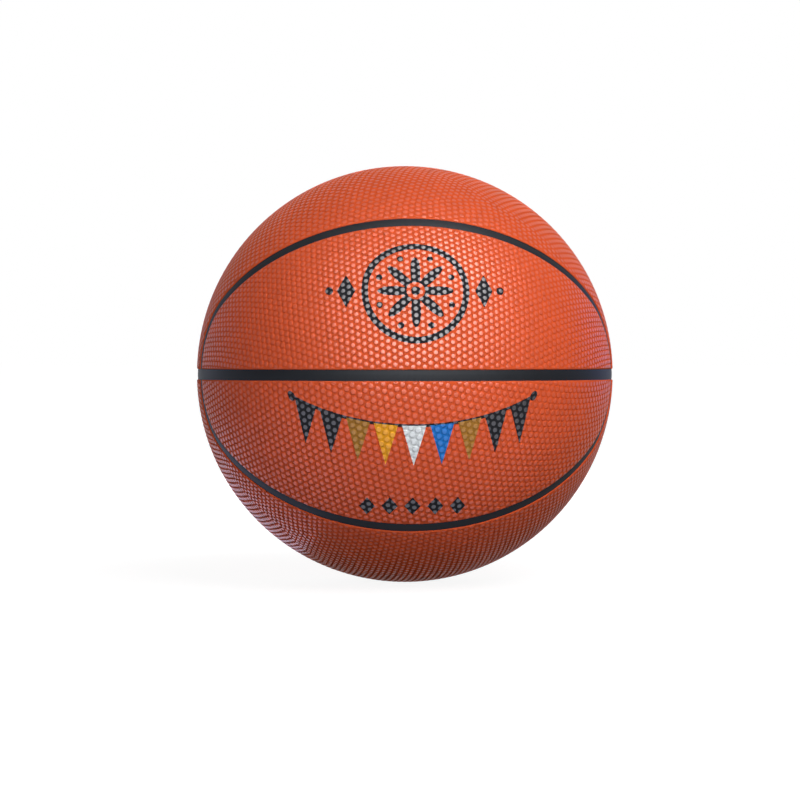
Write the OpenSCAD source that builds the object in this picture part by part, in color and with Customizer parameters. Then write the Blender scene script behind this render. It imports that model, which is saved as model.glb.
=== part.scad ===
// An eight-panel basketball, with its origin at the ball's centre and +Z up.
// The equator channel lies in the plane z = 0 and the meridian channel in y = 0. One closed loop of
// channel lies round -Y, the front, and one round +Y, where the valve is.

/* [Ball] */
// Diameter over the tops of the cover's pebbles
ball_d = 222; // [206:1:250]

/* [Layers] */
// Thickness of the cover panels, pebbles included
cover_t = 1.5; // [1.3:0.1:3]
// Thickness of the rubber carcass under the cover
carcass_t = 0.5; // [0.4:0.1:2]
// Thickness of the wound thread layer
winding_t = 0.4; // [0.3:0.1:2]
// Wall of the air bladder
bladder_t = 0.7; // [0.5:0.1:2]

/* [Channels] */
// Width of the channels between the panels
channel_w = 5.6; // [4:0.1:8]
// Depth of a channel's floor below the cover's face
channel_depth = 1; // [0.6:0.05:1.2]
// Width of the rolled lip along a panel's edge
lip_w = 1.1; // [0.4:0.1:2]
// Drop of the lip's upper, flatter half
lip_roll = 0.2; // [0.1:0.05:0.25]
// Drop of the whole lip, down to the upright wall
lip_drop = 0.6; // [0.3:0.05:0.7]
// How much wider and deeper the lip is along the two great circles, where the mould parts
lip_step = 0.08; // [0.04:0.02:0.2]

/* [Loops] */
// Height of each closed loop of channel, measured straight across its middle
loop_h = 154.6; // [140:0.2:164]
// Diameter of the loop's round ends
loop_end_d = 96.4; // [88:0.2:106]

/* [Valve] */
// Diameter of the round boss that widens the channel at the valve
boss_d = 14; // [12:0.5:18]
// Rise of the boss above the channel's floor
boss_rise = 0.45; // [0.2:0.05:0.6]
// Diameter of the valve housing's stem
housing_d = 9.6; // [9:0.1:11]
// Length of the valve housing, from its mouth inwards
housing_l = 15; // [12:0.5:20]
// Diameter of the housing's flange inside the bladder
flange_d = 27; // [20:0.5:34]
// Thickness of that flange
flange_t = 1.2; // [0.8:0.1:2]
// Diameter of the patch between the flange and the bladder
patch_d = 42; // [36:0.5:60]
// Thickness of that patch
patch_t = 0.6; // [0.4:0.1:1.2]
// Diameter of the valve core's head
head_d = 7.2; // [6.8:0.1:7.6]
// Thickness of that head
head_t = 1.6; // [1.2:0.1:2]
// How far the head lies below the boss
head_recess = 0.3; // [0.1:0.1:0.5]
// Diameter of the core's stem
core_d = 5.2; // [4.6:0.1:5.6]
// Diameter of the bulb that keeps the core in the housing
bulb_d = 6.8; // [6.2:0.1:8]
// Length of that bulb
bulb_l = 3.6; // [2.6:0.1:5]
// Diameter of the guide hole for an inflating needle
needle_d = 2.2; // [2:0.1:2.6]
// Depth of the guide hole below the head's face
needle_l = 10; // [8:0.5:12]
// Diameter of the funnel at the hole's mouth
funnel_d = 4; // [3:0.1:5]
// Depth of that funnel
funnel_l = 0.8; // [0.5:0.1:1.2]
// Width of the slit that closes below the guide hole
slit_w = 2.6; // [2:0.1:3.4]
// Gap of the slit
slit_gap = 0.1; // [0.05:0.05:0.2]

/* [Hidden] */
$fn = 180;

// Length by which a cutting shape runs past what it cuts
overrun = 3;
// Radii of the layers, from the outside in
ball_r = ball_d / 2;
floor_r = ball_r - channel_depth;
carcass_r = ball_r - cover_t;
winding_r = carcass_r - carcass_t;
bladder_r = winding_r - winding_t;
air_r = bladder_r - bladder_t;
// Reach of a shape that has to cross the whole ball
reach = ball_r + overrun;

// A loop is four arcs that meet without a corner: a great circle over the top and one under the
// bottom, each as high as loop_rise above the loop's middle, and a small circle at either end.
loop_rise = asin(loop_h / ball_d);
end_angle = asin(loop_end_d / ball_d);
// Turn of an end circle's centre from the loop's middle, along the equator
end_turn = acos(loop_end_d / loop_h);
// Turn of the meeting point round the end circle's centre, from the equator
meet_turn = atan2(cos(loop_rise), sin(loop_rise) * sin(end_turn));
// Half of the great circle arc, from the top of the loop to the meeting point
top_turn = asin(sin(end_turn) * cos(end_angle) + cos(end_turn) * sin(end_angle) * cos(meet_turn));
// Angle that an arc runs on past the plane where it is cut, and the angle by which a panel's rough
// outline stands outside the middle of its channel
arc_overrun = 6;
outline_margin = 0.6;

// Levels along the valve's axis, measured from the ball's centre
boss_r = floor_r + boss_rise;
head_z = boss_r - head_recess;
seat_z = head_z - head_t;
housing_z = boss_r - housing_l;
patch_r = air_r - patch_t;
flange_r = patch_r - flange_t;
// Level of the cover's face round the boss
boss_edge_z = sqrt(pow(ball_r, 2) - pow(boss_d / 2, 2));

rubber_orange = "#cf5a38";
rubber_black = "#33363a";
butyl_grey = "#3f4146";
carcass_grey = "#4b4a4d";
thread_white = "#d9d2c2";

// Half of space on the +Z side, from the level z upwards
module above(z) {
    translate([-reach, -reach, z])
        cube([2 * reach, 2 * reach, reach + overrun]);
}

// Slab of the thickness t, square to Z and centred on it
module slab(t) {
    translate([-reach, -reach, -t / 2])
        cube([2 * reach, 2 * reach, t]);
}

module shell(outer_r, inner_r) {
    difference() {
        sphere(r = outer_r);
        sphere(r = inner_r);
    }
}

// Turns the Z axis to the valve's axis, outwards
module at_valve() {
    rotate([-90, 0, 0])
        children();
}

// Turns a loop's own frame, with its middle on Z and the equator along X, to the front of the ball
module at_front() {
    rotate([90, 0, 0])
        children();
}

// Cross-section of a channel as it is cut into the cover, across X and outwards along Y. Its lip is
// larger by the size step.
module channel_profile(step) {
    half = channel_w / 2;
    bottom = carcass_r - overrun;
    right = [
        [half, bottom],
        [half, ball_r - lip_drop - step],
        [half + (lip_w + step) / 2, ball_r - lip_roll - step / 2],
        [half + lip_w + step, ball_r],
        [half + lip_w + step, ball_r + overrun]
    ];
    left = [for (i = [len(right) - 1 : -1 : 0]) [-right[i][0], right[i][1]]];
    polygon(concat(right, left));
}

// Cross-section of the space that a channel's rubber strip fills
module strip_profile() {
    translate([-channel_w / 2, carcass_r - overrun])
        square([channel_w, floor_r - carcass_r + 2 * overrun]);
}

// Great circle channel round Z
module ring_channel() {
    rotate_extrude()
        rotate(-90)
            channel_profile(lip_step);
}

// Right-hand half of a loop's upper half, swept from the child profile in the loop's own frame.
// Both arcs start from the plane where they meet, so their profiles are the same there.
module loop_quarter() {
    intersection() {
        rotate([0, end_turn, 0])
            rotate([0, 0, meet_turn]) {
                rotate_extrude(angle = -meet_turn - arc_overrun)
                    rotate(-end_angle)
                        children();
                rotate([0, end_angle - 90, 0])
                    rotate_extrude(angle = top_turn + arc_overrun)
                        rotate(-90)
                            children();
            }
        rotate([0, 90, 0])
            above(0);
    }
}

module upper_loop() {
    loop_quarter()
        children();
    mirror([1, 0, 0])
        loop_quarter()
            children();
}

// Cone round an end circle of the loop, from the ball's centre
module end_cone() {
    rotate([0, end_turn, 0])
        cylinder(r1 = 0, r2 = reach * tan(end_angle), h = reach);
}

// Rough solid inside the loop's upper half, with its sides in the middle of the channel
module inside_loop() {
    side_turn = atan2(sin(top_turn), cos(top_turn) * cos(loop_rise));
    end_cone();
    mirror([1, 0, 0])
        end_cone();
    intersection() {
        rotate([0, 90, 0])
            rotate([0, 0, 180])
                rotate_extrude(angle = -loop_rise - outline_margin)
                    translate([0, -reach])
                        square([reach, 2 * reach]);
        rotate([90, 0, 0])
            rotate([0, 0, 90 - side_turn - outline_margin])
                rotate_extrude(angle = 2 * (side_turn + outline_margin))
                    translate([0, -reach])
                        square([reach, 2 * reach]);
    }
}

// Upper front quarter of the cover, still in one piece
module cover_quarter() {
    intersection() {
        shell(ball_r, carcass_r);
        above(0);
        rotate([90, 0, 0])
            above(0);
    }
}

// The loop's channel is cut first and by itself, and the straight channels after it
module upper_panel() {
    difference() {
        difference() {
            intersection() {
                cover_quarter();
                at_front()
                    inside_loop();
            }
            at_front()
                upper_loop()
                    channel_profile(0);
        }
        ring_channel();
    }
}

module upper_band() {
    difference() {
        difference() {
            difference() {
                cover_quarter();
                at_front()
                    inside_loop();
            }
            at_front()
                upper_loop()
                    channel_profile(0);
        }
        ring_channel();
        rotate([90, 0, 0])
            ring_channel();
    }
}

module upper_loop_strip() {
    intersection() {
        shell(floor_r, carcass_r);
        above(channel_w / 2);
        at_front()
            upper_loop()
                strip_profile();
    }
}

module meridian_strip() {
    intersection() {
        shell(floor_r, carcass_r);
        above(channel_w / 2);
        rotate([90, 0, 0])
            slab(channel_w);
    }
}

// Room that the valve's boss takes from the panels, with the same lip as a channel
module boss_notch() {
    at_valve() {
        translate([0, 0, carcass_r - overrun])
            cylinder(d = boss_d, h = 2 * overrun + cover_t);
        translate([0, 0, boss_edge_z - lip_drop])
            cylinder(d1 = boss_d, d2 = boss_d + 2 * lip_w, h = lip_drop);
        translate([0, 0, boss_edge_z])
            cylinder(d = boss_d + 2 * lip_w, h = overrun);
    }
}

// Round way that the housing's stem takes through a layer
module stem_hole() {
    at_valve()
        translate([0, 0, housing_z])
            cylinder(d = housing_d, h = housing_l + overrun);
}

module bladder() {
    color(butyl_grey)
        difference() {
            shell(bladder_r, air_r);
            stem_hole();
        }
}

module valve_patch() {
    color(butyl_grey)
        difference() {
            intersection() {
                shell(air_r, patch_r);
                at_valve()
                    cylinder(d = patch_d, h = reach);
            }
            stem_hole();
        }
}

module valve_housing() {
    color(rubber_black)
        difference() {
            union() {
                intersection() {
                    shell(patch_r, flange_r);
                    at_valve()
                        cylinder(d = flange_d, h = reach);
                }
                intersection() {
                    sphere(r = boss_r);
                    stem_hole();
                }
            }
            at_valve() {
                translate([0, 0, housing_z - overrun])
                    cylinder(d = core_d, h = housing_l + 2 * overrun);
                translate([0, 0, seat_z])
                    cylinder(d = head_d, h = head_t + head_recess + overrun);
            }
        }
}

module valve_core() {
    color(rubber_black)
        at_valve()
            difference() {
                union() {
                    translate([0, 0, seat_z])
                        cylinder(d = head_d, h = head_t);
                    translate([0, 0, housing_z])
                        cylinder(d = core_d, h = seat_z - housing_z);
                    translate([0, 0, housing_z - bulb_l])
                        cylinder(d1 = core_d, d2 = bulb_d, h = bulb_l);
                }
                translate([0, 0, head_z - needle_l])
                    cylinder(d = needle_d, h = needle_l + overrun);
                translate([0, 0, head_z - funnel_l])
                    cylinder(d1 = needle_d, d2 = funnel_d, h = funnel_l);
                translate([-slit_w / 2, -slit_gap / 2, housing_z - bulb_l - overrun])
                    cube([slit_w, slit_gap, head_z - needle_l - housing_z + bulb_l + overrun]);
            }
}

module thread_winding() {
    color(thread_white)
        difference() {
            shell(winding_r, bladder_r);
            stem_hole();
        }
}

module carcass() {
    color(carcass_grey)
        difference() {
            shell(carcass_r, winding_r);
            stem_hole();
        }
}

// Round rubber disc in the equator channel, bonded round the housing's stem
module valve_boss() {
    color(rubber_black)
        difference() {
            intersection() {
                sphere(r = boss_r);
                at_valve()
                    cylinder(d = boss_d, h = reach);
            }
            sphere(r = carcass_r);
            stem_hole();
        }
}

// Ring that runs from one side of the boss right round to the other
module equator_strip() {
    color(rubber_black)
        difference() {
            intersection() {
                shell(floor_r, carcass_r);
                slab(channel_w);
            }
            at_valve()
                cylinder(d = boss_d, h = reach);
        }
}

module upper_meridian_strip() {
    color(rubber_black)
        meridian_strip();
}

module lower_meridian_strip() {
    color(rubber_black)
        mirror([0, 0, 1])
            meridian_strip();
}

module front_upper_loop_strip() {
    color(rubber_black)
        upper_loop_strip();
}

module front_lower_loop_strip() {
    color(rubber_black)
        mirror([0, 0, 1])
            upper_loop_strip();
}

module back_upper_loop_strip() {
    color(rubber_black)
        mirror([0, 1, 0])
            upper_loop_strip();
}

module back_lower_loop_strip() {
    color(rubber_black)
        rotate([180, 0, 0])
            upper_loop_strip();
}

module front_upper_panel() {
    color(rubber_orange)
        upper_panel();
}

module front_lower_panel() {
    color(rubber_orange)
        mirror([0, 0, 1])
            upper_panel();
}

module back_upper_panel() {
    color(rubber_orange)
        difference() {
            mirror([0, 1, 0])
                upper_panel();
            boss_notch();
        }
}

module back_lower_panel() {
    color(rubber_orange)
        difference() {
            rotate([180, 0, 0])
                upper_panel();
            boss_notch();
        }
}

module front_upper_band() {
    color(rubber_orange)
        upper_band();
}

module front_lower_band() {
    color(rubber_orange)
        mirror([0, 0, 1])
            upper_band();
}

module back_upper_band() {
    color(rubber_orange)
        mirror([0, 1, 0])
            upper_band();
}

module back_lower_band() {
    color(rubber_orange)
        rotate([180, 0, 0])
            upper_band();
}

bladder();
valve_patch();
valve_housing();
valve_core();
thread_winding();
carcass();
valve_boss();
equator_strip();
upper_meridian_strip();
lower_meridian_strip();
front_upper_loop_strip();
front_lower_loop_strip();
back_upper_loop_strip();
back_lower_loop_strip();
front_upper_panel();
front_lower_panel();
back_upper_panel();
back_lower_panel();
front_upper_band();
front_lower_band();
back_upper_band();
back_lower_band();
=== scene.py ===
import bmesh
import bpy
import math
import numpy as np
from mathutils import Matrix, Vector, geometry


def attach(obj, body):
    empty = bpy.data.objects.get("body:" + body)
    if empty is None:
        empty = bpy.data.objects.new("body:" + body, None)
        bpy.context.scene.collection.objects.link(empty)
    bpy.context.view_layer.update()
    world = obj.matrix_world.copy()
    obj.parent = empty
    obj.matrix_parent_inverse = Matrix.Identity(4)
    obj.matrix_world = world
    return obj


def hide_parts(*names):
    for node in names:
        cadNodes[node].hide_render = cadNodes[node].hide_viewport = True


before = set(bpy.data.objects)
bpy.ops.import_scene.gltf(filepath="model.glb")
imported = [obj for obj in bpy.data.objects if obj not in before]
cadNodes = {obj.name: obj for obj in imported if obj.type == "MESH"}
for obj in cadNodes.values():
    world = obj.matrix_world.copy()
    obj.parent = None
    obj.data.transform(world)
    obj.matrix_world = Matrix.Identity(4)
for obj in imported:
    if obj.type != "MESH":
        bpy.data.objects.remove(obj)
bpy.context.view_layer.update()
scene = bpy.context.scene
print("frame loaded:", len(cadNodes), "nodes")

# Sizes are in millimetres until a mesh is made. The ball's front is -Y, and its valve is on +Y.
ball = {
    "topRadius": 111.0,       # the ball's own, just over the pebbles
    "valleyRadius": 110.85,   # between the pebbles
    "carcassRadius": 109.5,   # under the cover and the channel strips
    "channelWidth": 5.6,
    "bossRadius": 7.0,        # round boss at the valve
}
loop = {"height": 154.6, "endDiameter": 96.4}
pointCounts = {  # along each stretch of a panel's edge, and of a channel strip
    "loopSide": 26, "loopTop": 61, "panelBase": 101, "notch": 25, "besideNotch": 48, "meridian": 110,
    "bandBase": 14, "stripSide": 52, "stripTop": 121, "stripEquator": 361, "stripMeridian": 181,
}
topRadius = ball["topRadius"]
halfChannel = ball["channelWidth"] / 2
right, front, up = np.array([1, 0, 0]), np.array([0, -1, 0]), np.array([0, 0, 1])

# A loop of channel is four arcs: a great circle over the top and one under the bottom, and a small circle
# at either end.
rise = math.asin(loop["height"] / 2 / topRadius)
endAngle = math.asin(loop["endDiameter"] / 2 / topRadius)
endTurn = math.acos(loop["endDiameter"] / loop["height"])
sideJoin = math.atan2(math.cos(rise), math.sin(rise) * math.sin(endTurn))
topJoin = math.atan2(math.sin(endTurn), math.cos(endTurn) * math.cos(rise))
endCentre = math.sin(endTurn) * right + math.cos(endTurn) * front
endOutward = math.cos(endTurn) * right - math.sin(endTurn) * front
loopTop = math.cos(rise) * front + math.sin(rise) * up
loopNormal = math.cos(rise) * up - math.sin(rise) * front


def arc(axis, across, along, angle, turns):
    turns = np.asarray(turns)[:, None]
    return math.cos(angle) * axis + math.sin(angle) * (np.cos(turns) * across + np.sin(turns) * along)


def levelArc(level, turns):  # round Z, at a height above the equator's plane
    return arc(up, front, right, math.acos(level / topRadius), turns)


def uprightArc(level, turns):  # round Y, at a distance in front of the meridian's plane
    return arc(front, right, up, math.acos(level / topRadius), turns)


def turnOf(point):  # longitude of a point, from the front
    return math.atan2(point @ right, point @ front)


# Upper half of a loop from right to left, offset outwards, and cut at a height above the equator
def upperLoop(offset, level, sideCount=pointCounts["loopSide"], topCount=pointCounts["loopTop"]):
    shift = math.asin(offset / topRadius)
    start = math.asin(level / topRadius / math.sin(endAngle + shift))
    side = arc(endCentre, endOutward, up, endAngle + shift,
               np.linspace(start, sideJoin, sideCount, endpoint=False))
    top = arc(loopNormal, loopTop, right, math.pi / 2 - shift, np.linspace(topJoin, -topJoin, topCount))
    return np.vstack([side, top, (side * [-1, 1, 1])[::-1]])


# Edge of a panel at a distance in from its walls, as unit directions, for the upper front quarter
def loopPanelEdge(gap):
    offset = halfChannel + gap
    curve = upperLoop(-offset, offset)
    end = turnOf(curve[0])
    return np.vstack([curve, levelArc(offset, np.linspace(-end, end, pointCounts["panelBase"])[1:-1])])


def notchedPanelEdge(gap):  # with the notch for the valve's boss
    offset = halfChannel + gap
    curve = upperLoop(-offset, offset)
    end = turnOf(curve[0])
    notchAngle = math.asin((ball["bossRadius"] + gap) / topRadius)
    low = math.asin(offset / topRadius / math.sin(notchAngle))
    notch = arc(front, right, up, notchAngle, np.linspace(math.pi - low, low, pointCounts["notch"]))
    beside = levelArc(offset, np.linspace(turnOf(notch[-1]), end, pointCounts["besideNotch"])[1:-1])
    return np.vstack([curve, (beside * [-1, 1, 1])[::-1], notch, beside])


def bandEdge(gap):
    offset = halfChannel + gap
    curve = upperLoop(offset, offset)
    low = math.asin(offset / topRadius / math.cos(math.asin(offset / topRadius)))
    meridian = uprightArc(offset, np.linspace(math.pi - low, low, pointCounts["meridian"]))
    turns = np.linspace(turnOf(meridian[-1]), turnOf(curve[0]), pointCounts["bandBase"])
    beside = levelArc(offset, turns[1:-1])
    return np.vstack([curve, (beside * [-1, 1, 1])[::-1], meridian, beside])


# Distances in from the walls of the equator, the meridian, the loops and the boss, and whether a
# direction lies inside a loop
def wallGaps(points):
    folded = np.abs(points) * [1, -1, 1]
    outward = np.arctan2(folded @ up, folded @ endOutward) < sideJoin
    toSide = np.arccos(np.clip(folded @ endCentre, -1, 1)) - endAngle
    toLoop = np.where(outward, toSide, np.arcsin(np.clip(folded @ loopNormal, -1, 1)))
    toBoss = np.arccos(np.clip(points @ -front, -1, 1)) - ball["bossRadius"] / topRadius
    gaps = [np.arcsin(np.abs(points[:, axis])) * topRadius - halfChannel for axis in (2, 1)]
    gaps += [np.abs(toLoop) * topRadius - halfChannel, toBoss * topRadius]
    return np.sort(np.array(gaps), axis=0), toLoop < 0


def nearestGap(points):
    return wallGaps(points / np.linalg.norm(points, axis=1)[:, None])[0][0]


# Directions of an even grid of triangles over the whole ball, on an icosahedron. One face's middle is in
# the front at a rise above the equator, and one of its rows leans from the upright there.
def evenGrid(frequency, middleRise, lean):
    golden = (1 + math.sqrt(5)) / 2
    corners = [(a, b * golden, 0) for a in (-1, 1) for b in (-1, 1)]
    corners = np.array([np.roll(c, k) for c in corners for k in range(3)])
    corners /= np.linalg.norm(corners[0])
    side = math.acos(1 / math.sqrt(5))
    near = (corners @ corners.T) > 0.4  # neighbours are 63.4 degrees apart, which gives 0.447
    faces = [(a, b, c) for a in range(12) for b in range(a + 1, 12) for c in range(b + 1, 12)
             if near[a, b] and near[b, c] and near[a, c]]
    parts = [(i, j, frequency - i - j) for i in range(frequency + 1) for j in range(frequency + 1 - i)]
    weights = np.sin(np.array(parts) / frequency * side)
    points = np.vstack([weights @ corners[list(face)] for face in faces])
    points /= np.linalg.norm(points, axis=1)[:, None]
    points = points[np.unique(np.round(points, 5), axis=0, return_index=True)[1]]
    middle = corners[list(faces[0])].sum(axis=0)
    middle /= np.linalg.norm(middle)
    row = corners[faces[0][1]] - corners[faces[0][0]]
    row /= np.linalg.norm(row)
    middleRise, lean = math.radians(middleRise), math.radians(lean)
    newMiddle = math.cos(middleRise) * front + math.sin(middleRise) * up
    newRow = math.sin(lean) * right - math.cos(lean) * np.cross(right, -newMiddle)
    old = np.array([middle, row, np.cross(middle, row)])
    new = np.array([newMiddle, newRow, np.cross(newMiddle, newRow)])
    return points @ old.T @ new


# Directions of a flat grid of triangles that is wrapped on the ball from a middle in the front, to just past
# a quarter of the way round
def wrappedGrid(pitch, middleRise, lean):
    rowsEachWay, wrapAngle = 70, 1.6
    steps = np.arange(-rowsEachWay, rowsEachWay + 1)
    i, j = [part.ravel() for part in np.meshgrid(steps, steps)]
    x, y = (i + j / 2) * pitch, j * math.sqrt(0.75) * pitch
    near = np.hypot(x, y) < topRadius * wrapAngle
    x, y = x[near], y[near]
    bearing, middleRise = np.arctan2(y, x) + math.radians(90 + lean), math.radians(middleRise)
    middle = math.cos(middleRise) * front + math.sin(middleRise) * up
    angle = (np.hypot(x, y) / topRadius)[:, None]
    sideways = np.cos(bearing)[:, None] * right + np.sin(bearing)[:, None] * np.cross(right, -middle)
    return np.cos(angle) * middle + np.sin(angle) * sideways


# Takes millimetres. A piece's object stays at the origin, with its place in its mesh.
def makeObject(name, points, faces):
    mesh = bpy.data.meshes.new(name)
    mesh.from_pydata([tuple(p) for p in np.asarray(points) / 1000], [], faces)
    made = bpy.data.objects.new(name, mesh)
    scene.collection.objects.link(made)
    return made


def faceOutwards(made, sharpAngle=40):
    work = bmesh.new()
    work.from_mesh(made.data)
    bmesh.ops.recalc_face_normals(work, faces=work.faces)
    work.to_mesh(made.data)
    work.free()
    made.data.shade_smooth()
    made.data.set_sharp_from_angle(angle=math.radians(sharpAngle))


def finishPiece(piece, material, nodeNames=()):
    piece.data.materials.clear()
    piece.data.materials.append(material)
    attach(piece, "root")
    if nodeNames:
        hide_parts(*nodeNames)
    return piece


# sRGB hex to linear
def hexColor(text):
    parts = [int(text[i:i + 2], 16) / 255 for i in (1, 3, 5)]
    return [c / 12.92 if c <= 0.04045 else ((c + 0.055) / 1.055) ** 2.4 for c in parts] + [1]


# Adds one node. An input is given a value, or another node's socket to link to it.
def addNode(tree, kind, inputs=(), **settings):
    node = tree.nodes.new(kind)
    for name, value in settings.items():
        setattr(node, name, value)
    for key, value in dict(inputs).items():
        if isinstance(value, bpy.types.NodeSocket):
            tree.links.new(value, node.inputs[key])
        else:
            node.inputs[key].default_value = value
    return node


def startMaterial(name):
    material = bpy.data.materials.new(name)
    material.use_nodes = True
    material.node_tree.nodes.clear()
    return material, material.node_tree


patchesPerMetre = 90    # of lighter and darker rubber, so about 11 mm each
roughnessChange = 0.05  # up and down with the patches
grainStrength = 0.5
plainFinishes = {  # colour, roughness, specular level, grain size and depth in mm, change of shade
    # moulded rubber of the channels: smooth, near black, with a dull shine
    "mouldedChannelRubber": ("#16181c", 0.5, 0.04, 0.6, 0.012, 0.06),
    # soft rubber of the valve: matt and a little blacker
    "softValveRubber": ("#17181a", 0.7, 0.3, 0.4, 0.02, 0.06),
    # calendered rubber under the cover: dull grey
    "calenderedCarcassRubber": ("#4b4a4d", 0.7, 0.4, 0.5, 0.03, 0.1),
    # butyl rubber dusted with talc: grey with a pale bloom in patches
    "talcedButylRubber": ("#3f4146", 0.8, 0.3, 0.5, 0.02, 0.3),
    # nylon thread in rubber: pale, with the ridges of the windings
    "woundNylonThread": ("#d9d2c2", 0.6, 0.4, 0.4, 0.08, 0.15),
}


def plainRubber(name, color, roughness, specular, grainSize, grainDepth, change):
    material, tree = startMaterial(name)
    place = addNode(tree, "ShaderNodeTexCoord").outputs["Object"]
    cloud = addNode(tree, "ShaderNodeTexNoise", {
        "Vector": place, "Scale": patchesPerMetre, "Detail": 3}).outputs["Fac"]
    grain = addNode(tree, "ShaderNodeTexNoise", {"Vector": place, "Scale": 1000 / grainSize, "Detail": 2})
    shade = addNode(tree, "ShaderNodeMapRange", {"Value": cloud, 3: 1 - change, 4: 1 + change})
    tint = addNode(tree, "ShaderNodeVectorMath", {
        0: hexColor(color)[:3], "Scale": shade.outputs[0]}, operation="SCALE")
    rough = addNode(tree, "ShaderNodeMapRange", {
        "Value": cloud, 3: roughness - roughnessChange, 4: roughness + roughnessChange})
    bump = addNode(tree, "ShaderNodeBump", {
        "Height": grain.outputs["Fac"], "Strength": grainStrength, "Distance": grainDepth / 1000})
    surface = addNode(tree, "ShaderNodeBsdfPrincipled", {
        "Base Color": tint.outputs[0], "Roughness": rough.outputs[0], "Specular IOR Level": specular,
        "IOR": 1.5, "Normal": bump.outputs[0]})
    addNode(tree, "ShaderNodeOutputMaterial", {"Surface": surface.outputs[0]})
    return material


finishes = {name: plainRubber(name, *values) for name, values in plainFinishes.items()}

cover = {
    "valleyColor": "#dc5528",    # clean rubber between the pebbles
    # the tops' colour is a little darker than the valleys': painted shade against the extra light that the
    # raised tops catch
    "shadedTopColor": "#d6542b",       # tops of the pebbles, polished by hands
    "valleyRoughness": 0.9,
    "topRoughness": 0.36,
    "valleySpecular": 0.03,      # the mould leaves the valleys almost without shine
    "topSpecular": 0.2,
    "topStart": 0.025,           # mm over the valley, where the colour and shine of the tops start
    "topFull": 0.075,            # and where they are full
    "shadeChange": 0.05,
    "patchesPerMetre": 80,       # so about 12 mm each
    "grainSize": 0.5,            # mm, drawn coarser than the real one so that it shows
    "grainDepth": 0.008,         # mm
    "grainStrength": 0.4,
}
# the ink on the pebble tops is lighter: rubbed thin, and a painted sheen
inks = {"black": "#1c1c20", "rubbedBlackWithSheen": "#3c3a3e", "yellow": "#f2a51e", "brown": "#a8742a",
        "white": "#e9eef2", "blue": "#1f74c8"}

# Prints, drawn in mm across (u) and up (v) from the middle of the front. Each row is a sum: its result, what
# it does, and what it takes.
rosettePrint = [  # a rosette of eight petals in a ring, with a diamond and a dot at either side
    # distance and turn from its middle
    ("du", "SUBTRACT", "u", 1), ("dv", "SUBTRACT", "v", 43), ("uu", "MULTIPLY", "du", "du"),
    ("rr", "MULTIPLY_ADD", "dv", "dv", "uu"), ("r", "SQRT", "rr"), ("turn", "ARCTAN2", "dv", "du"),
    # petals round an open middle with a dot
    ("turn8", "MULTIPLY", "turn", 8), ("wave", "COSINE", "turn8"),
    ("edge", "MULTIPLY_ADD", "wave", 6.5, 12.5), ("flower", "LESS_THAN", "r", "edge"),
    ("open", "GREATER_THAN", "r", 4.6), ("petals", "MULTIPLY", "flower", "open"),
    ("dot", "LESS_THAN", "r", 2.4),
    # ring
    ("off", "SUBTRACT", "r", 25.5), ("offSize", "ABSOLUTE", "off"), ("ring", "LESS_THAN", "offSize", 1.7),
    # bead between every two petals
    ("part", "FLOORED_MODULO", "turn", math.pi / 4), ("partTurn", "SUBTRACT", "part", math.pi / 8),
    ("partCos", "COSINE", "partTurn"), ("partSin", "SINE", "partTurn"),
    ("bx", "MULTIPLY_ADD", "r", "partCos", -19.5), ("by", "MULTIPLY", "r", "partSin"),
    ("bxx", "MULTIPLY", "bx", "bx"), ("bead2", "MULTIPLY_ADD", "by", "by", "bxx"),
    ("beads", "LESS_THAN", "bead2", 2.6),
    # diamond at either side, and a dot past it
    ("side", "ABSOLUTE", "du"), ("sx", "SUBTRACT", "side", 35), ("sxSize", "ABSOLUTE", "sx"),
    ("svSize", "ABSOLUTE", "dv"), ("svPart", "MULTIPLY", "svSize", 0.55),
    ("diamondSum", "ADD", "sxSize", "svPart"), ("diamond", "LESS_THAN", "diamondSum", 4.8),
    ("ex", "SUBTRACT", "side", 44), ("exx", "MULTIPLY", "ex", "ex"),
    ("end2", "MULTIPLY_ADD", "dv", "dv", "exx"), ("ends", "LESS_THAN", "end2", 4.4),
    # all in black
    ("m1", "MAXIMUM", "petals", "dot"), ("m2", "MAXIMUM", "m1", "ring"), ("m3", "MAXIMUM", "m2", "beads"),
    ("m4", "MAXIMUM", "m3", "diamond"), ("black", "MAXIMUM", "m4", "ends")]
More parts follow.
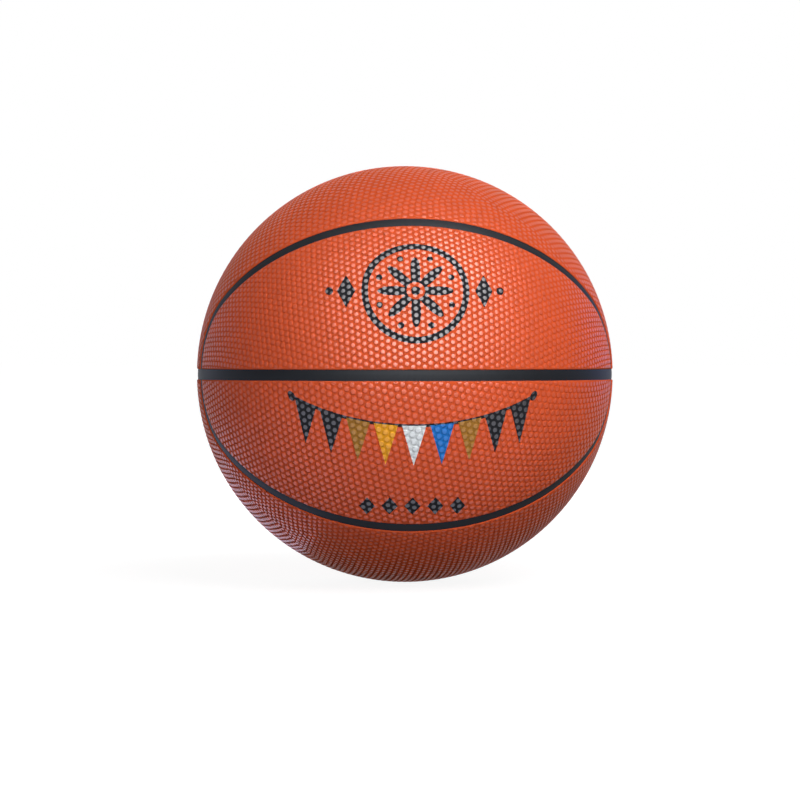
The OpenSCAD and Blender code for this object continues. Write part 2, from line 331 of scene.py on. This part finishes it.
garlandPrint = [  # nine pennants on a hanging string, with a row of five diamonds under them
    # string
    ("uu", "MULTIPLY", "u", "u"), ("hang", "MULTIPLY_ADD", "uu", 0.0036, -25),
    ("under", "SUBTRACT", "hang", "v"), ("underSize", "ABSOLUTE", "under"), ("uSize", "ABSOLUTE", "u"),
    ("line", "LESS_THAN", "underSize", 0.8), ("within", "LESS_THAN", "uSize", 64),
    ("string", "MULTIPLY", "line", "within"),
    # pennants, which narrow as they go down
    ("cells", "DIVIDE", "u", 14), ("cell", "ROUND", "cells"), ("w", "SUBTRACT", "cells", "cell"),
    ("wSize", "ABSOLUTE", "w"), ("depth", "DIVIDE", "under", 21), ("left", "SUBTRACT", 1, "depth"),
    ("half", "MULTIPLY", "left", 0.43), ("narrow", "LESS_THAN", "wSize", "half"),
    ("below", "GREATER_THAN", "depth", 0), ("cellSize", "ABSOLUTE", "cell"),
    ("nine", "LESS_THAN", "cellSize", 4.5), ("p1", "MULTIPLY", "narrow", "below"),
    ("pennant", "MULTIPLY", "p1", "nine"),
    # diamonds
    ("rowCells", "DIVIDE", "u", 11.5), ("rowCell", "ROUND", "rowCells"),
    ("rw", "SUBTRACT", "rowCells", "rowCell"), ("rwSize", "ABSOLUTE", "rw"), ("rv", "ADD", "v", 70),
    ("rvSize", "ABSOLUTE", "rv"), ("rvPart", "MULTIPLY", "rvSize", 0.065),
    ("rowSum", "ADD", "rwSize", "rvPart"), ("row", "LESS_THAN", "rowSum", 0.36),
    ("rowCellSize", "ABSOLUTE", "rowCell"), ("five", "LESS_THAN", "rowCellSize", 2.5),
    ("d1", "MULTIPLY", "row", "five"),
    # knot at either end of the string
    ("kx", "SUBTRACT", "uSize", 64), ("kv", "MULTIPLY", "under", "under"),
    ("knot2", "MULTIPLY_ADD", "kx", "kx", "kv"), ("knots", "LESS_THAN", "knot2", 5),
    # all in black, and the middle five pennants in colour over it
    ("b1", "MAXIMUM", "string", "pennant"), ("b2", "MAXIMUM", "b1", "d1"),
    ("black", "MAXIMUM", "b2", "knots"),
    ("isYellow", "COMPARE", "cell", -1, 0.5), ("yellow", "MULTIPLY", "isYellow", "pennant"),
    ("isWhite", "COMPARE", "cell", 0, 0.5), ("white", "MULTIPLY", "isWhite", "pennant"),
    ("isBlue", "COMPARE", "cell", 1, 0.5), ("blue", "MULTIPLY", "isBlue", "pennant"),
    ("isBrown", "COMPARE", "cellSize", 2, 0.5), ("brown", "MULTIPLY", "isBrown", "pennant")]


# Pebbled rubber: vulcanised in a mould, so that the valleys keep the mould's matt skin and the flat tops of
# the pebbles are polished and shine.
# The tops' rubber is painted a little darker, as painted shade against the extra light they catch. Ink lies
# over both, and is lighter on the tops: rubbed thin there, and with a painted sheen.
def pebbledRubber(name, printRows=()):
    material, tree = startMaterial(name)
    place = addNode(tree, "ShaderNodeTexCoord").outputs["Object"]
    length = addNode(tree, "ShaderNodeVectorMath", {0: place}, operation="LENGTH").outputs["Value"]
    onTop = addNode(tree, "ShaderNodeMapRange", {
        "Value": length, 1: (ball["valleyRadius"] + cover["topStart"]) / 1000,
        2: (ball["valleyRadius"] + cover["topFull"]) / 1000, 3: 0, 4: 1},
        interpolation_type="SMOOTHSTEP").outputs[0]
    cloud = addNode(tree, "ShaderNodeTexNoise", {
        "Vector": place, "Scale": cover["patchesPerMetre"], "Detail": 3}).outputs["Fac"]
    # tops painted a little darker than the valleys: painted shade against the light that the raised tops
    # catch
    color = addNode(tree, "ShaderNodeMix", {
        0: onTop, 6: hexColor(cover["valleyColor"]), 7: hexColor(cover["shadedTopColor"])},
        data_type="RGBA").outputs[2]
    if printRows:
        part = addNode(tree, "ShaderNodeSeparateXYZ", {0: place}).outputs
        values = {"x": part[0], "y": part[1], "z": part[2], "length": length}
        toMillimetres = [  # across is true to size along each level
            ("ahead", "MULTIPLY", "y", -1), ("turned", "ARCTAN2", "x", "ahead"),
            ("sine", "DIVIDE", "z", "length"), ("angle", "ARCSINE", "sine"),
            ("v", "MULTIPLY", "angle", topRadius), ("cosine", "COSINE", "angle"),
            ("level", "MULTIPLY", "cosine", topRadius), ("u", "MULTIPLY", "turned", "level")]
        for result, operation, *taken in toMillimetres + list(printRows):
            inputs = {i: values.get(item, item) for i, item in enumerate(taken)}
            values[result] = addNode(tree, "ShaderNodeMath", inputs, operation=operation).outputs[0]
        # on the tops the ink is lighter grey: ink rubbed thin, and a painted sheen over it
        ink = addNode(tree, "ShaderNodeMix", {
            0: onTop, 6: hexColor(inks["black"]), 7: hexColor(inks["rubbedBlackWithSheen"])},
            data_type="RGBA").outputs[2]
        color = addNode(tree, "ShaderNodeMix", {
            0: values["black"], 6: color, 7: ink}, data_type="RGBA").outputs[2]
        for inkName in ("yellow", "white", "blue", "brown"):
            if inkName in values:
                color = addNode(tree, "ShaderNodeMix", {
                    0: values[inkName], 6: color, 7: hexColor(inks[inkName])}, data_type="RGBA").outputs[2]
    shade = addNode(tree, "ShaderNodeMapRange", {
        "Value": cloud, 3: 1 - cover["shadeChange"], 4: 1 + cover["shadeChange"]})
    tint = addNode(tree, "ShaderNodeVectorMath", {0: color, "Scale": shade.outputs[0]}, operation="SCALE")
    uneven = addNode(tree, "ShaderNodeMapRange", {
        "Value": cloud, 3: -roughnessChange, 4: roughnessChange}).outputs[0]
    polish = addNode(tree, "ShaderNodeMapRange", {
        "Value": onTop, 3: cover["valleyRoughness"], 4: cover["topRoughness"]}).outputs[0]
    rough = addNode(tree, "ShaderNodeMath", {0: polish, 1: uneven}, operation="ADD").outputs[0]
    grain = addNode(tree, "ShaderNodeTexNoise", {
        "Vector": place, "Scale": 1000 / cover["grainSize"], "Detail": 2}).outputs["Fac"]
    bump = addNode(tree, "ShaderNodeBump", {
        "Height": grain, "Strength": cover["grainStrength"],
        "Distance": cover["grainDepth"] / 1000}).outputs[0]
    shine = addNode(tree, "ShaderNodeMapRange", {
        "Value": onTop, 3: cover["valleySpecular"], 4: cover["topSpecular"]}).outputs[0]
    surface = addNode(tree, "ShaderNodeBsdfPrincipled", {
        "Base Color": tint.outputs[0], "Roughness": rough, "Specular IOR Level": shine,
        "IOR": 1.5, "Normal": bump})
    addNode(tree, "ShaderNodeOutputMaterial", {"Surface": surface.outputs[0]})
    return material


coverRubber = {
    "front_upper_panel": pebbledRubber("pebbledVulcanisedRubberRosette", rosettePrint),
    "front_lower_panel": pebbledRubber("pebbledVulcanisedRubberGarland", garlandPrint),
    "plain": pebbledRubber("pebbledVulcanisedRubber"),
}
print("materials made")

panelEdgeRows = [  # gap in from the wall and radius, from the foot of the wall over the lip to the valley
    (0, 109.5), (0, 110.35), (0.04, 110.5), (0.1, 110.63), (0.2, 110.74), (0.36, 110.82), (0.6, 110.85),
    (2.2, 110.85)]
pebbles = {  # lengths in mm
    "Radius": 1.42,
    "Height": 0.13,
    "Foot": 0.03,           # sunk into the rubber
    "Size Spread": 0.02,    # share by which the smallest is smaller
    "Seed": 4,
    "Wall Clearance": 0.05,
    "Lip Radius": 110.6,    # how high a pebble may stand at the wall
    "Lip Reach": 0.7,       # and where it may stand full height
}
domeShape = {"sides": 12, "rings": 3, "spread": 0.55, "flatness": 6}  # the last two are powers
fullSizePitch, fullSizeRows = 3.45, 39  # of the grids on which a pebble has the radius above
nearestSite, roomBeyond = -0.3, 1.2     # mm from the nearest wall, and at least so much from the next one
pebbleGrids = {  # each mould has its own: pitch in mm, or rows between corners, rise of the middle, and lean
    ("upper", "panel"): (wrappedGrid, 3.45, 28, 2.6),
    ("lower", "panel"): (wrappedGrid, 3.7, -26, 11.5),
    ("upper", "band"): (evenGrid, 36, 28, -7),
    ("lower", "band"): (evenGrid, 41, -67, -7),
}
fillRows, fillStart = 26, 4.2  # grid under the pebbles, and how far in from the walls it starts
fill = evenGrid(fillRows, 0, 0)
fillGaps, fillInside = wallGaps(fill)


# Directions laid flat round a middle, in mm, so that they can be joined with triangles
def flatten(points, middle):
    across = np.cross(up, middle)
    across /= np.linalg.norm(across)
    along = np.cross(middle, across)
    angle = np.arccos(np.clip(points @ middle, -1, 1))
    bearing = np.arctan2(points @ along, points @ across)
    return np.column_stack([np.cos(bearing), np.sin(bearing)]) * (angle * topRadius)[:, None]


# Closed body of a panel without its pebbles: rings along its edge, and a filled face outside and inside
def panelBody(name, edge, insideLoop, middleRise, flip):
    rings = [edge(gap) * radius for gap, radius in panelEdgeRows]
    count = len(rings[0])
    quarter = (fill[:, 1] * flip[1] < 0) & (fill[:, 2] * flip[2] > 0)
    chosen = fill[quarter & (fillInside == insideLoop) & (fillGaps[0] > fillStart)] * flip
    middle = math.cos(middleRise) * front + math.sin(middleRise) * up
    flat = flatten(np.vstack([rings[-1] / np.linalg.norm(rings[-1], axis=1)[:, None], chosen]), middle)
    _, _, triangles, origins, _, _ = geometry.delaunay_2d_cdt(
        [Vector(p) for p in flat], [], [list(range(count))], 1, 1e-5)
    triangles = [[origins[i][0] for i in t] for t in triangles]
    carcass = ball["carcassRadius"]
    rings.append(rings[-1] / panelEdgeRows[-1][1] * carcass)
    last = len(rings) - 1
    points = np.vstack(rings + [chosen * panelEdgeRows[-1][1], chosen * carcass])
    faces = []
    for i in range(count):
        j = (i + 1) % count
        for k in range(last - 1):
            faces.append((k * count + i, k * count + j, (k + 1) * count + j, (k + 1) * count + i))
        faces.append((last * count + i, last * count + j, j, i))
    outer, inner = (last - 1) * count, last * count
    for t in triangles:
        faces.append([outer + i if i < count else inner + count + i - count for i in t])
        faces.append([inner + i if i < count else inner + len(chosen) + i for i in t][::-1])
    made = makeObject(name, points * flip, faces)
    faceOutwards(made)
    return made


# A point for each pebble, with what it needs to keep clear of the walls
def siteObject(name, grid, insideLoop, flip):
    gaps, inside = wallGaps(grid)
    quarter = (grid[:, 1] * flip[1] < 0) & (grid[:, 2] * flip[2] > 0)
    clear = (gaps[0] > nearestSite) & (gaps[1] > roomBeyond)
    chosen = grid[quarter & (inside == insideLoop) & clear]
    step = 1e-4
    away = np.column_stack([(nearestGap(chosen + step * axis) - nearestGap(chosen - step * axis))
                            for axis in np.eye(3)]) / (2 * step * topRadius)
    made = makeObject(name, chosen * ball["valleyRadius"], [])
    for label, kind, field, values in (
            ("siteCentre", "FLOAT_VECTOR", "vector", chosen * ball["valleyRadius"] / 1000),
            ("awayFromWall", "FLOAT_VECTOR", "vector", away),
            ("wallGap", "FLOAT", "value", nearestGap(chosen) / 1000)):
        made.data.attributes.new(label, kind, "POINT").data.foreach_set(field, np.ravel(values))
    return made


def pebbleTree():
    tree = bpy.data.node_groups.new("pebbledCover", "GeometryNodeTree")
    tree.interface.new_socket("Body", in_out="INPUT", socket_type="NodeSocketGeometry")
    tree.interface.new_socket("Sites", in_out="INPUT", socket_type="NodeSocketObject")
    for label, value in pebbles.items():
        kind = "NodeSocketInt" if label == "Seed" else "NodeSocketFloat"
        tree.interface.new_socket(label, in_out="INPUT", socket_type=kind)
    tree.interface.new_socket("Rubber", in_out="INPUT", socket_type="NodeSocketMaterial")
    tree.interface.new_socket("Cover", in_out="OUTPUT", socket_type="NodeSocketGeometry")
    given = addNode(tree, "NodeGroupInput").outputs

    # One pebble: a cone of three rings, bent to a low dome with a flat top, whose side runs out flat
    cone = addNode(tree, "GeometryNodeMeshCone", {
        "Vertices": domeShape["sides"], "Side Segments": domeShape["rings"],
        "Radius Top": 0, "Radius Bottom": 1, "Depth": 1})
    spot = addNode(tree, "GeometryNodeInputPosition").outputs[0]
    part = addNode(tree, "ShaderNodeSeparateXYZ", {0: spot}).outputs
    reach = addNode(tree, "ShaderNodeMath", {0: 1, 1: part[2]}, operation="SUBTRACT").outputs[0]
    spread = addNode(tree, "ShaderNodeMath", {
        0: reach, 1: domeShape["spread"]}, operation="POWER").outputs[0]
    ratio = addNode(tree, "ShaderNodeMath", {0: spread, 1: reach}, operation="DIVIDE").outputs[0]
    widened = addNode(tree, "ShaderNodeMath", {0: ratio, 1: given["Radius"]}, operation="MULTIPLY").outputs[0]
    flatTop = addNode(tree, "ShaderNodeMath", {
        0: spread, 1: domeShape["flatness"]}, operation="POWER").outputs[0]
    left = addNode(tree, "ShaderNodeMath", {0: 1, 1: flatTop}, operation="SUBTRACT").outputs[0]
    bell = addNode(tree, "ShaderNodeMath", {0: left, 1: left}, operation="MULTIPLY").outputs[0]
    level = addNode(tree, "ShaderNodeMath", {0: bell, 1: given["Height"]}, operation="MULTIPLY").outputs[0]
    level = addNode(tree, "ShaderNodeMath", {0: level, 1: given["Foot"]}, operation="SUBTRACT").outputs[0]
    x = addNode(tree, "ShaderNodeMath", {0: part[0], 1: widened}, operation="MULTIPLY").outputs[0]
    y = addNode(tree, "ShaderNodeMath", {0: part[1], 1: widened}, operation="MULTIPLY").outputs[0]
    bent = addNode(tree, "ShaderNodeCombineXYZ", {0: x, 1: y, 2: level}).outputs[0]
    metres = addNode(tree, "ShaderNodeVectorMath", {0: bent, "Scale": 0.001}, operation="SCALE").outputs[0]
    dome = addNode(tree, "GeometryNodeSetPosition", {"Geometry": cone.outputs["Mesh"], "Position": metres})

    # A pebble on each site, upright on the ball, with a random spin and size
    sites = addNode(tree, "GeometryNodeObjectInfo", {"Object": given["Sites"]}).outputs["Geometry"]
    upright = addNode(tree, "FunctionNodeAlignRotationToVector", {"Vector": spot}, axis="Z").outputs[0]
    spin = addNode(tree, "FunctionNodeRandomValue", {
        "Seed": given["Seed"], 2: 0, 3: 6.2832}, data_type="FLOAT")  # a full turn
    spun = addNode(tree, "ShaderNodeCombineXYZ", {2: spin.outputs[1]}).outputs[0]
    turned = addNode(tree, "FunctionNodeRotateRotation", {
        0: upright, 1: spun}, rotation_space="LOCAL").outputs[0]
    smallest = addNode(tree, "ShaderNodeMath", {
        0: 1, 1: given["Size Spread"]}, operation="SUBTRACT").outputs[0]
    size = addNode(tree, "FunctionNodeRandomValue", {
        "Seed": given["Seed"], 2: smallest, 3: 1}, data_type="FLOAT")
    placed = addNode(tree, "GeometryNodeInstanceOnPoints", {
        "Points": sites, "Instance": dome.outputs[0], "Rotation": turned, "Scale": size.outputs[1]})
    real = addNode(tree, "GeometryNodeRealizeInstances", {0: placed.outputs[0]}).outputs[0]

    # Beside a channel a pebble is pushed back from the wall and kept under the slope of the lip
    centre, away, gap = [
        addNode(tree, "GeometryNodeInputNamedAttribute", {"Name": label}, data_type=kind).outputs[0]
        for label, kind in (("siteCentre", "FLOAT_VECTOR"), ("awayFromWall", "FLOAT_VECTOR"),
                            ("wallGap", "FLOAT"))]
    shift = addNode(tree, "ShaderNodeVectorMath", {0: spot, 1: centre}, operation="SUBTRACT").outputs[0]
    along = addNode(tree, "ShaderNodeVectorMath", {
        0: shift, 1: away}, operation="DOT_PRODUCT").outputs["Value"]
    here = addNode(tree, "ShaderNodeMath", {0: gap, 1: along}, operation="ADD").outputs[0]
    clearance = addNode(tree, "ShaderNodeMath", {
        0: given["Wall Clearance"], 1: 0.001}, operation="MULTIPLY").outputs[0]
    kept = addNode(tree, "ShaderNodeMath", {0: here, 1: clearance}, operation="MAXIMUM").outputs[0]
    push = addNode(tree, "ShaderNodeMath", {0: kept, 1: here}, operation="SUBTRACT").outputs[0]
    pushed = addNode(tree, "ShaderNodeVectorMath", {0: away, "Scale": push}, operation="SCALE").outputs[0]
    moved = addNode(tree, "ShaderNodeVectorMath", {0: spot, 1: pushed}, operation="ADD").outputs[0]
    lipReach = addNode(tree, "ShaderNodeMath", {
        0: given["Lip Reach"], 1: 0.001}, operation="MULTIPLY").outputs[0]
    limit = addNode(tree, "ShaderNodeMapRange", {  # past the lip's reach the limit is over the pebbles
        "Value": kept, 1: clearance, 2: lipReach, 3: given["Lip Radius"], 4: topRadius + 0.1}).outputs[0]
    length = addNode(tree, "ShaderNodeVectorMath", {0: moved}, operation="LENGTH").outputs["Value"]
    limit = addNode(tree, "ShaderNodeMath", {0: limit, 1: 0.001}, operation="MULTIPLY").outputs[0]
    over = addNode(tree, "ShaderNodeMath", {0: limit, 1: length}, operation="DIVIDE").outputs[0]
    factor = addNode(tree, "ShaderNodeMath", {0: over, 1: 1}, operation="MINIMUM").outputs[0]
    lowered = addNode(tree, "ShaderNodeVectorMath", {0: moved, "Scale": factor}, operation="SCALE").outputs[0]
    fitted = addNode(tree, "GeometryNodeSetPosition", {"Geometry": real, "Position": lowered}).outputs[0]
    smooth = addNode(tree, "GeometryNodeSetShadeSmooth", {"Geometry": fitted}).outputs[0]
    joined = addNode(tree, "GeometryNodeJoinGeometry")
    tree.links.new(smooth, joined.inputs[0])
    tree.links.new(given["Body"], joined.inputs[0])
    whole = addNode(tree, "GeometryNodeRealizeInstances", {0: joined.outputs[0]}).outputs[0]
    coated = addNode(tree, "GeometryNodeSetMaterial", {
        "Geometry": whole, "Material": given["Rubber"]}).outputs[0]
    addNode(tree, "NodeGroupOutput", {0: coated})
    return tree


# Runs the tree on a body and keeps the result as a plain mesh
def pebbledPiece(name, body, sites, size, rubber):
    modifier = body.modifiers.new("pebbledCover", "NODES")
    modifier.node_group = coverTree
    values = dict(pebbles, Sites=sites, Rubber=rubber, Radius=pebbles["Radius"] * size)
    for item in coverTree.interface.items_tree:
        if item.in_out == "INPUT" and item.name in values:
            modifier[item.identifier] = values[item.name]
    bpy.context.view_layer.update()
    evaluated = body.evaluated_get(bpy.context.evaluated_depsgraph_get())
    mesh = bpy.data.meshes.new_from_object(evaluated)
    body.modifiers.remove(modifier)
    for label in ("siteCentre", "awayFromWall", "wallGap"):
        mesh.attributes.remove(mesh.attributes[label])
    for spare in (body, sites):
        spareMesh = spare.data
        bpy.data.objects.remove(spare)
        bpy.data.meshes.remove(spareMesh)
    made = bpy.data.objects.new(name, mesh)
    scene.collection.objects.link(made)
    return made


coverTree = pebbleTree()
for (vertical, kind), (makeGrid, *values) in pebbleGrids.items():
    grid = makeGrid(*values)
    size = values[0] / fullSizePitch if makeGrid is wrappedGrid else fullSizeRows / values[0]
    for frontBack, turn in (("front", 1), ("back", -1)):
        node = "%s_%s_%s" % (frontBack, vertical, kind)
        flip = np.array([1, turn, 1 if vertical == "upper" else -1])
        insideLoop = kind == "panel"
        if insideLoop:  # an edge, and the rise in degrees that the body is laid flat round
            edge, middle = (loopPanelEdge if frontBack == "front" else notchedPanelEdge), 22
        else:
            edge, middle = bandEdge, 67
        body = panelBody(node + "Body", edge, insideLoop, math.radians(middle), flip)
        sites = siteObject(node + "Sites", grid * [1, turn, 1], insideLoop, flip)
        siteCount = len(sites.data.vertices)
        rubber = coverRubber.get(node, coverRubber["plain"])
        piece = pebbledPiece("pebbled_" + node, body, sites, size, rubber)
        finishPiece(piece, rubber, [node])
        print(node, siteCount, "pebbles", len(piece.data.polygons), "faces")


stripSection = [  # across the channel and radius, over the strip from left to right and back under it
    (-2.8, 110.36), (-2.68, 110.33), (-2.45, 110.33), (-2.0, 110.37), (-0.7, 110.43), (0.7, 110.43),
    (2.0, 110.37), (2.45, 110.33), (2.68, 110.33), (2.8, 110.36), (2.8, 109.5), (0, 109.5), (-2.8, 109.5)]


def strip(name, path, flip):
    rows = np.array([path(offset) * radius for offset, radius in stripSection])
    across, count = rows.shape[:2]
    faces = [[k * count for k in range(across)], [k * count + count - 1 for k in range(across)]]
    for k in range(across):
        m = (k + 1) % across
        for i in range(count - 1):
            faces.append((k * count + i, k * count + i + 1, m * count + i + 1, m * count + i))
    made = makeObject(name, rows.reshape(-1, 3) * flip, faces)
    faceOutwards(made)
    return made


def equatorPath(offset):
    gap = math.asin(math.sqrt(ball["bossRadius"] ** 2 - offset ** 2) / topRadius)
    return levelArc(offset, np.linspace(gap - math.pi, math.pi - gap, pointCounts["stripEquator"]))


def meridianPath(offset):
    low = math.asin(halfChannel / topRadius / math.cos(math.asin(offset / topRadius)))
    return uprightArc(offset, np.linspace(low, math.pi - low, pointCounts["stripMeridian"]))


def loopPath(offset):
    return upperLoop(offset, halfChannel, pointCounts["stripSide"], pointCounts["stripTop"])


strips = {"equator_strip": (equatorPath, [1, 1, 1])}
for vertical, sign in (("upper", 1), ("lower", -1)):
    strips[vertical + "_meridian_strip"] = (meridianPath, [1, 1, sign])
    for frontBack, turn in (("front", 1), ("back", -1)):
        strips["%s_%s_loop_strip" % (frontBack, vertical)] = (loopPath, [1, turn, sign])
channelRubber = finishes["mouldedChannelRubber"]
for node, (path, flip) in strips.items():
    finishPiece(strip("channel_" + node, path, flip), channelRubber, [node])
print("channel strips made:", len(strips))

cadFinishes = {  # the solids that stay as they are
    "valve_boss": "mouldedChannelRubber", "valve_housing": "softValveRubber",
    "valve_core": "softValveRubber", "valve_patch": "talcedButylRubber", "bladder": "talcedButylRubber",
    "thread_winding": "woundNylonThread", "carcass": "calenderedCarcassRubber"}
for node, finish in cadFinishes.items():
    cadNodes[node].data.materials.clear()
    cadNodes[node].data.materials.append(finishes[finish])
print("finishes on the carried-over solids:", len(cadFinishes))

# The floor and the room look white to the camera and in reflections, and throw little light on the ball.
studio = {
    "bounceGrey": "#2c2c2c",   # what the floor throws back at the ball
    "shownGrey": "#7a7a7a",    # what it shows of light and shadow
    "nearWhite": 0.9,          # its own white under the ball, and far off
    "farWhite": 1.0,
    "fadeStart": 0.15,         # metres from the ball's middle
    "fadeEnd": 0.4,
    "floorReach": 30,          # metres each way
    "roomLight": 0.02,
}


# 1 where the camera looks, or a reflection, or a view through something clear
def lookedAt(tree):
    rays = addNode(tree, "ShaderNodeLightPath").outputs
    seen = rays["Is Camera Ray"]
    for other in ("Is Glossy Ray", "Is Transmission Ray"):
        seen = addNode(tree, "ShaderNodeMath", {0: seen, 1: rays[other]}, operation="MAXIMUM").outputs[0]
    return seen


reach, ground = studio["floorReach"], -topRadius / 1000
floorCorners = [(-reach, -reach, ground), (reach, -reach, ground), (reach, reach, ground),
                (-reach, reach, ground)]
floorMesh = bpy.data.meshes.new("floor")
floorMesh.from_pydata(floorCorners, [], [(0, 1, 2, 3)])
floor = bpy.data.objects.new("floor", floorMesh)
scene.collection.objects.link(floor)
floorMaterial, tree = startMaterial("paleStudioFloor")  # matt painted board: even white, a soft shadow
place = addNode(tree, "ShaderNodeTexCoord").outputs["Object"]
away = addNode(tree, "ShaderNodeVectorMath", {0: place}, operation="LENGTH").outputs["Value"]
white = addNode(tree, "ShaderNodeMapRange", {
    "Value": away, 1: studio["fadeStart"], 2: studio["fadeEnd"], 3: studio["nearWhite"],
    4: studio["farWhite"]}, interpolation_type="SMOOTHSTEP").outputs[0]
glow = addNode(tree, "ShaderNodeEmission", {"Color": (1, 1, 1, 1), "Strength": white})
shown = addNode(tree, "ShaderNodeBsdfDiffuse", {"Color": hexColor(studio["shownGrey"])})
shown = addNode(tree, "ShaderNodeAddShader", {0: glow.outputs[0], 1: shown.outputs[0]})
bounce = addNode(tree, "ShaderNodeBsdfDiffuse", {"Color": hexColor(studio["bounceGrey"])})
surface = addNode(tree, "ShaderNodeMixShader", {
    0: lookedAt(tree), 1: bounce.outputs[0], 2: shown.outputs[0]})
underneath = addNode(tree, "ShaderNodeNewGeometry").outputs["Backfacing"]
clear = addNode(tree, "ShaderNodeBsdfTransparent")  # so that the ball can be looked at from below
surface = addNode(tree, "ShaderNodeMixShader", {0: underneath, 1: surface.outputs[0], 2: clear.outputs[0]})
addNode(tree, "ShaderNodeOutputMaterial", {"Surface": surface.outputs[0]})
floor.data.materials.append(floorMaterial)

world = bpy.data.worlds.new("whiteRoom")
scene.world = world
world.use_nodes = True
tree = world.node_tree
tree.nodes.clear()
dim = addNode(tree, "ShaderNodeBackground", {"Color": (1, 1, 1, 1), "Strength": studio["roomLight"]})
bright = addNode(tree, "ShaderNodeBackground", {"Color": (1, 1, 1, 1), "Strength": 1})
mixed = addNode(tree, "ShaderNodeMixShader", {
    0: lookedAt(tree), 1: dim.outputs[0], 2: bright.outputs[0]})
addNode(tree, "ShaderNodeOutputWorld", {"Surface": mixed.outputs[0]})

# A softbox lights the rubber's colour, and a card shows only in its shine. Two cards lie on the floor.
lamps = {  # turn from the front, rise, distance, width and height in m, radiance, colour, what it lights
    "mainSoftbox": (32, 42, 1.2, 0.8, 0.8, 5.2, "#ffffff", "colour"),
    "frontSoftbox": (-2, 6, 1.2, 1.0, 0.38, 5.4, "#ffffff", "colour"),
    "leftSoftbox": (-100, 10, 1.2, 0.8, 0.4, 0.6, "#dfe8ff", "colour"),
    "backSoftbox": (180, 14, 1.2, 1.2, 0.6, 4.2, "#ffffff", "colour"),
    "wideCard": (8, 38, 1.2, 2.0, 1.7, 18, "#ffffff", "shine"),
    "lowCard": (5, 15, 1.2, 0.6, 0.4, 16, "#ffffff", "shine"),
    "highRightCard": (40, 60, 1.2, 0.4, 0.5, 25, "#ffffff", "shine"),
    "floorCard": (-25, -16.5, 0.38, 0.8, 0.5, 3.6, "#e4ecff", "shine"),
    "floorLeftCard": (-100, -24, 0.268, 0.36, 0.5, 2.2, "#ccd4ff", "shine"),
    "leftRimCard": (-125, 5, 1.2, 0.8, 0.7, 1.1, "#b9cdff", "shine"),
    "rightRimCard": (125, 0, 1.2, 0.8, 0.9, 1.5, "#5a86ff", "shine"),
}
for name, (turn, lift, distance, width, height, radiance, color, lights) in lamps.items():
    data = bpy.data.lights.new(name, "AREA")
    data.shape = "RECTANGLE"
    data.size, data.size_y = width, height
    data.energy = radiance * math.pi * width * height  # watts
    data.color = hexColor(color)[:3]
    lamp = bpy.data.objects.new(name, data)
    scene.collection.objects.link(lamp)
    turn, lift = math.radians(turn), math.radians(lift)
    direction = Vector((math.sin(turn) * math.cos(lift), -math.cos(turn) * math.cos(lift), math.sin(lift)))
    lamp.location = direction * distance
    if name.startswith("floor"):  # it faces up
        direction = Vector((0, 0, -1))
    lamp.rotation_euler = direction.to_track_quat("Z", "Y").to_euler()
    lamp.visible_camera = False
    lamp.visible_diffuse = lights == "colour"
    lamp.visible_glossy = lights == "shine"

# The photo's view, from a little left of the front
view = {"distance": 1.332, "turn": 2.47, "rise": 0.40, "lens": 111.97, "shift": (-0.006, -0.0325)}
turn, tilt = math.radians(view["turn"]), math.radians(view["rise"])
toCamera = Vector((-math.sin(turn) * math.cos(tilt), -math.cos(turn) * math.cos(tilt), math.sin(tilt)))
cameraData = bpy.data.cameras.new("camera")
cameraData.lens = view["lens"]
cameraData.sensor_width = 36
cameraData.shift_x, cameraData.shift_y = view["shift"]
camera = bpy.data.objects.new("camera", cameraData)
scene.collection.objects.link(camera)
camera.location = toCamera * view["distance"]
camera.rotation_euler = toCamera.to_track_quat("Z", "Y").to_euler()
scene.camera = camera
scene.view_settings.view_transform = "Standard"

print("stage, lamps and camera set")
